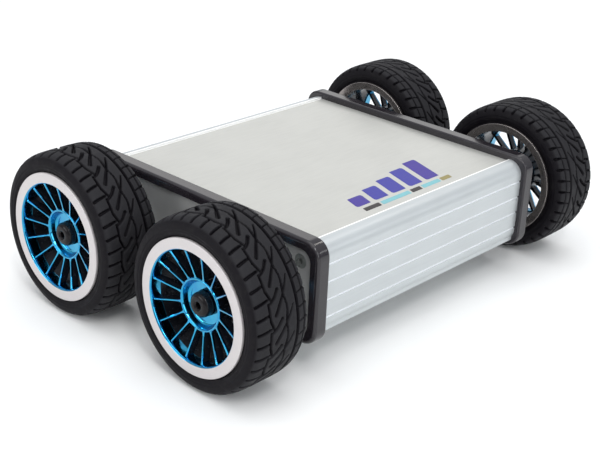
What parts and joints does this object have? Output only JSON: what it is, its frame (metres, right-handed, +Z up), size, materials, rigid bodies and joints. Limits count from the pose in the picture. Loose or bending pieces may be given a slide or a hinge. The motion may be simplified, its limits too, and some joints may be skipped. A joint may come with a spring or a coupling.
{
  "type": "four wheel robot chassis",
  "caption": "Low robot chassis: an extruded aluminium box closed by black end frames, with a gearmotor, a spoked blue rim and a treaded tyre at each corner.",
  "frame": {"origin": "on the ground under the middle of the box", "axes": "+X forward, along the sides with the grooves; +Y to the left, along the axles; +Z up"},
  "size_m": [0.142, 0.2092, 0.065],
  "materials": {
    "anodised_box": "clear satin anodising",
    "anodised_cover": "clear satin anodising, rolled",
    "bezel_black": "moulded, semi-gloss",
    "panel_grey": "moulded, fine texture",
    "screw_black": "blackened",
    "screw_steel": "zinc plated",
    "tyre_rubber": "soft rubber, slightly dusty",
    "foam": "open-cell foam",
    "rim_blue": "plated plastic, blue chrome",
    "adapter_metal": "turned and anodised",
    "shaft_steel": "ground",
    "gearbox_steel": "plated",
    "motor_steel": "plated",
    "cap_black": "moulded",
    "terminal_brass": "plain",
    "battery_wrap": "shrink wrap",
    "board_green": "solder mask",
    "nylon": "natural nylon",
    "chip_black": "moulded",
    "terminal_green": "moulded"
  },
  "bodies": {
    "chassis": {"battery_pack": "battery_wrap", "battery_pad": "foam", "bezel_left": "bezel_black", "bezel_right": "bezel_black", "board_standoffs": "nylon", "body_extrusion": "anodised_box", "controller_board": "board_green", "driver_chips": "chip_black", "end_panel_left": "panel_grey", "end_panel_right": "panel_grey", "gearbox_front_left": "gearbox_steel", "gearbox_front_right": "gearbox_steel", "gearbox_rear_left": "gearbox_steel", "gearbox_rear_right": "gearbox_steel", "motor_can_front_left": "motor_steel", "motor_can_front_right": "motor_steel", "motor_can_rear_left": "motor_steel", "motor_can_rear_right": "motor_steel", "motor_end_cap_front_left": "cap_black", "motor_end_cap_front_right": "cap_black", "motor_end_cap_rear_left": "cap_black", "motor_end_cap_rear_right": "cap_black", "motor_screws_front_left": "screw_steel", "motor_screws_front_right": "screw_steel", "motor_screws_rear_left": "screw_steel", "motor_screws_rear_right": "screw_steel", "motor_terminals": "terminal_brass", "panel_screws_left": "screw_black", "panel_screws_right": "screw_black", "screw_terminals": "terminal_green", "top_cover": "anodised_cover"},
    "wheel_front_right": {"tyre_front_right": "tyre_rubber", "foam_insert_front_right": "foam", "rim_front_right": "rim_blue", "hex_adapter_front_right": "adapter_metal", "set_screw_front_right": "screw_black", "wheel_screw_front_right": "screw_black", "output_shaft_front_right": "shaft_steel"},
    "wheel_rear_right": {"tyre_rear_right": "tyre_rubber", "foam_insert_rear_right": "foam", "rim_rear_right": "rim_blue", "hex_adapter_rear_right": "adapter_metal", "set_screw_rear_right": "screw_black", "wheel_screw_rear_right": "screw_black", "output_shaft_rear_right": "shaft_steel"},
    "wheel_front_left": {"tyre_front_left": "tyre_rubber", "foam_insert_front_left": "foam", "rim_front_left": "rim_blue", "hex_adapter_front_left": "adapter_metal", "set_screw_front_left": "screw_black", "wheel_screw_front_left": "screw_black", "output_shaft_front_left": "shaft_steel"},
    "wheel_rear_left": {"tyre_rear_left": "tyre_rubber", "foam_insert_rear_left": "foam", "rim_rear_left": "rim_blue", "hex_adapter_rear_left": "adapter_metal", "set_screw_rear_left": "screw_black", "wheel_screw_rear_left": "screw_black", "output_shaft_rear_left": "shaft_steel"}
  },
  "joints": [
    {"name": "axle_front_right", "type": "hinge", "parent": "chassis", "child": "wheel_front_right", "pos_m": [0.0385, -0.0916, 0.0325], "axis": [0, 1, 0], "continuous": true},
    {"name": "axle_rear_right", "type": "hinge", "parent": "chassis", "child": "wheel_rear_right", "pos_m": [-0.0385, -0.0916, 0.0325], "axis": [0, 1, 0], "continuous": true},
    {"name": "axle_front_left", "type": "hinge", "parent": "chassis", "child": "wheel_front_left", "pos_m": [0.0385, 0.0916, 0.0325], "axis": [0, 1, 0], "continuous": true},
    {"name": "axle_rear_left", "type": "hinge", "parent": "chassis", "child": "wheel_rear_left", "pos_m": [-0.0385, 0.0916, 0.0325], "axis": [0, 1, 0], "continuous": true}
  ]
}
